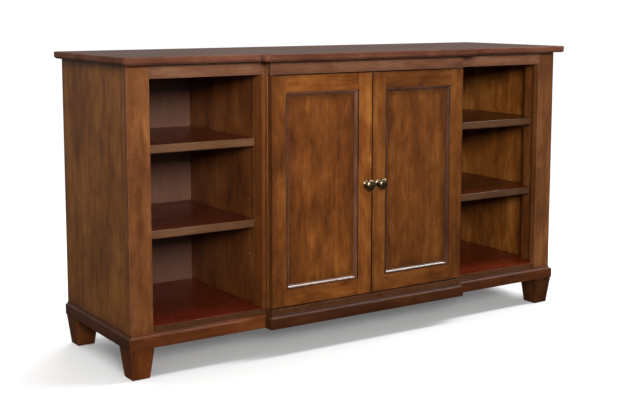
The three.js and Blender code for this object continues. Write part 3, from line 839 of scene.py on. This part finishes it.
def add_group(name, parts, material, body, slot):
    """One piece made of several closed skins."""
    vertices, faces = [], []
    for rings in parts:
        more_vertices, more_faces = skin(rings, False)
        start = len(vertices)
        vertices += more_vertices
        faces += [tuple(i + start for i in face) for face in more_faces]
    smooth_by_angle(add_piece(name, vertices, faces, material, body, slot), 35)


def spread(low, high, spacing):
    count = max(2, round((high - low) / spacing) + 1)
    return [low + (high - low) * i / (count - 1) for i in range(count)]


def make_back_screws(material):
    """Screws that hold the back panels, along the top and bottom and down every joint."""
    low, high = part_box("centre_back_panel")
    left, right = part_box("left_back_panel")[0].x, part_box("right_back_panel")[1].x
    inset = BACK_SCREW_INSET
    places = []
    for z in (low.z + inset, high.z - inset):
        places += [(x, z) for x in spread(left + inset, right - inset, BACK_SCREW_SPACING)]
    columns = [left + inset, low.x - inset, low.x + inset, high.x - inset, high.x + inset, right - inset]
    column = spread(low.z + COLUMN_MARGIN, high.z - COLUMN_MARGIN, COLUMN_SCREW_SPACING)
    places += [(x, z) for x in columns for z in column]
    heads = [screw_head((x, high.y, z), "+y", BACK_SCREW_SCALE) for x, z in places]
    add_group("back_panel_screws", heads, material, "carcass", "brass")


def hinge_leaf_screws(node, side, up, on_door):
    """Two screw heads on a hinge leaf; up is 1 at the top of the door and -1 at the bottom."""
    low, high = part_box(node)
    outer = high.z if up > 0 else low.z
    face = outer if on_door else outer - up * HINGE_LEAF
    axis = "+z" if (up > 0) == on_door else "-z"
    inner = min(abs(low.x), abs(high.x))
    y = (low.y + high.y) / 2
    return [screw_head((side * (inner + out), y, face), axis, HINGE_SCREW_SCALE)
            for out in HINGE_SCREW_PLACES]


def make_hinge_screws(material):
    """Two screws in each hinge leaf, in the gap between the door and the case."""
    for label, side in SIDES:
        for place, up in (("top", 1), ("bottom", -1)):
            for leaf, body in (("fixed", "carcass"), ("door", f"{label}_door")):
                hinge = f"{label}_{place}_hinge_{leaf}"
                heads = hinge_leaf_screws(f"{hinge}_leaf", side, up, leaf == "door")
                add_group(f"{hinge}_screws", heads, material, body, "brass")


def make_magnets(material):
    """Two round magnets in the door catch, opposite the strike plates."""
    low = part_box("door_catch")[0]
    parts = []
    for _, side in SIDES:
        x, z = side * MAGNET_OUT, low.z + MAGNET_UP
        rings = []
        for radius, out in MAGNET_PROFILE:
            rings.append([(x + u, low.y - out * MM, z + v)
                          for u, v in arc((0, 0), radius * MM, 0, 360, MAGNET_STEPS)[:-1]])
        parts.append(rings)
    add_group("catch_magnets", parts, material, "carcass", "brass")


# ---- stage ----
WORLD_SEEN = 1.05  # brightness of the surroundings to the camera, then as a light from above and below
WORLD_ABOVE = 0.34
WORLD_BELOW = 0.04
WORLD_FADE = (-0.3, 0.2)  # heights of a direction between which the light changes over
FLOOR_RADIUS = 3.2
FLOOR_FADE = 0.55  # share of the radius where the floor begins to fade
FLOOR_TONES = (0.76, 0.79)
FLOOR_GLOW = 0.12  # light that a white studio bounces into the shadows


def make_floor():
    """A pale round floor, bright round the case and fading into the white surroundings."""
    shell = bmesh.new()
    bmesh.ops.create_circle(shell, cap_ends=True, segments=96, radius=FLOOR_RADIUS)
    mesh = bpy.data.meshes.new("floor")
    shell.to_mesh(mesh)
    shell.free()
    floor = bpy.data.objects.new("floor", mesh)
    bpy.context.scene.collection.objects.link(floor)
    shader = Shader("floor_paper")
    tooth = shader.math("ADD", shader.noise(shader.coordinates, 300, 2), 0.5)
    greys = [(tone, tone, tone, 1) for tone in FLOOR_TONES]
    color = shader.ramp(tooth, list(zip((0.3, 0.7), greys)))
    shader.link(color, shader.surface.inputs["Base Color"])
    length = shader.add("ShaderNodeVectorMath", operation="LENGTH")
    shader.link(shader.coordinates, length.inputs[0])
    distance = length.outputs["Value"]
    fade = shader.remap(distance, FLOOR_RADIUS * FLOOR_FADE, FLOOR_RADIUS, 1.0, 0.0, smooth=True)
    shader.link(fade, shader.surface.inputs["Alpha"])
    shader.set(Roughness=0.9, Specular_IOR_Level=0.05)
    shader.set(Emission_Color=(1, 1, 1, 1), Emission_Strength=FLOOR_GLOW)
    mesh.materials.append(shader.material)
    floor.visible_diffuse = False
    floor.visible_glossy = False


def area_light(name, place, target, size, power, color=(1, 1, 1), along=(1, 0, 0), mirrored=True,
               spread=180):
    """A rectangular softbox facing target, with its width along the given direction."""
    light = bpy.data.lights.new(name, "AREA")
    light.shape = "RECTANGLE"
    light.size, light.size_y = size
    light.energy = power
    light.color = color
    light.spread = math.radians(spread)
    back = (Vector(place) - Vector(target)).normalized()
    height = back.cross(Vector(along)).normalized()
    width = height.cross(back)
    turn = Matrix((width, height, back)).transposed()
    obj = bpy.data.objects.new(name, light)
    obj.matrix_world = Matrix.Translation(place) @ turn.to_4x4()
    obj.visible_glossy = mirrored
    bpy.context.scene.collection.objects.link(obj)


def make_world():
    """White to the camera; as a light it is dimmer, and dimmest from below, so shadows stay dark."""
    world = bpy.data.worlds.new("studio")
    world.use_nodes = True
    tree = world.node_tree
    background = tree.nodes["Background"]
    background.inputs[0].default_value = (1, 1, 1, 1)
    coordinates = tree.nodes.new("ShaderNodeTexCoord")
    split = tree.nodes.new("ShaderNodeSeparateXYZ")
    tree.links.new(coordinates.outputs["Generated"], split.inputs[0])
    height = tree.nodes.new("ShaderNodeMapRange")
    tree.links.new(split.outputs[2], height.inputs[0])
    for index, number in enumerate((*WORLD_FADE, WORLD_BELOW, WORLD_ABOVE), start=1):
        height.inputs[index].default_value = number
    path = tree.nodes.new("ShaderNodeLightPath")
    strength = tree.nodes.new("ShaderNodeMapRange")
    tree.links.new(path.outputs["Is Camera Ray"], strength.inputs[0])
    tree.links.new(height.outputs[0], strength.inputs[3])
    strength.inputs[4].default_value = WORLD_SEEN
    tree.links.new(strength.outputs[0], background.inputs[1])
    bpy.context.scene.world = world


def make_lights():
    """A key from the left front, light from above, strips for the glints, and a fill behind."""
    make_world()
    area_light(
        "key_softbox", place=(-2.0, -4.1, 1.95), target=(0, -0.1, 1.25), size=(1.3, 1.0), power=29,
        color=(1.0, 0.98, 0.95), spread=60)
    area_light(
        "overhead_softbox", place=(-0.5, 0.5, 3.8), target=(-0.3, 0, 0), size=(5.6, 4.2), power=150)
    area_light(
        "bead_striplight", place=(1.8, -0.9, 2.75), target=(0.0, -0.25, 0.3), size=(2.6, 0.2), power=60)
    area_light(
        "corner_striplight", place=(-3.2, -2.2, 1.35), target=(0, -0.2, 0.7), size=(0.12, 1.4),
        power=12, along=(-1, 1.4, 0))
    area_light(
        "back_fill", place=(1.8, 3.6, 3.0), target=(0, 0.2, 0.5), size=(2.5, 2.0), power=110,
        mirrored=False)


# ---- the whole model ----
PIN_SEED = 77
PIN_BRIGHTNESS = 1.15
KNOB_SEED = 91

make_camera()
dress_cad_nodes()
make_top(NODES["top_panel"].data.materials[0])
make_base()
pin_brass = aged_brass("shelf_pin_brass", PIN_SEED, PIN_BRIGHTNESS)
make_shelf_pins(pin_brass)
make_back_screws(pin_brass)
make_hinge_screws(pin_brass)
make_magnets(pin_brass)
for seed, (door, _) in enumerate(SIDES, start=KNOB_SEED):
    make_bead(door)
    make_knob(door, seed)
make_floor()
make_lights()

bpy.context.scene.view_settings.view_transform = "Standard"
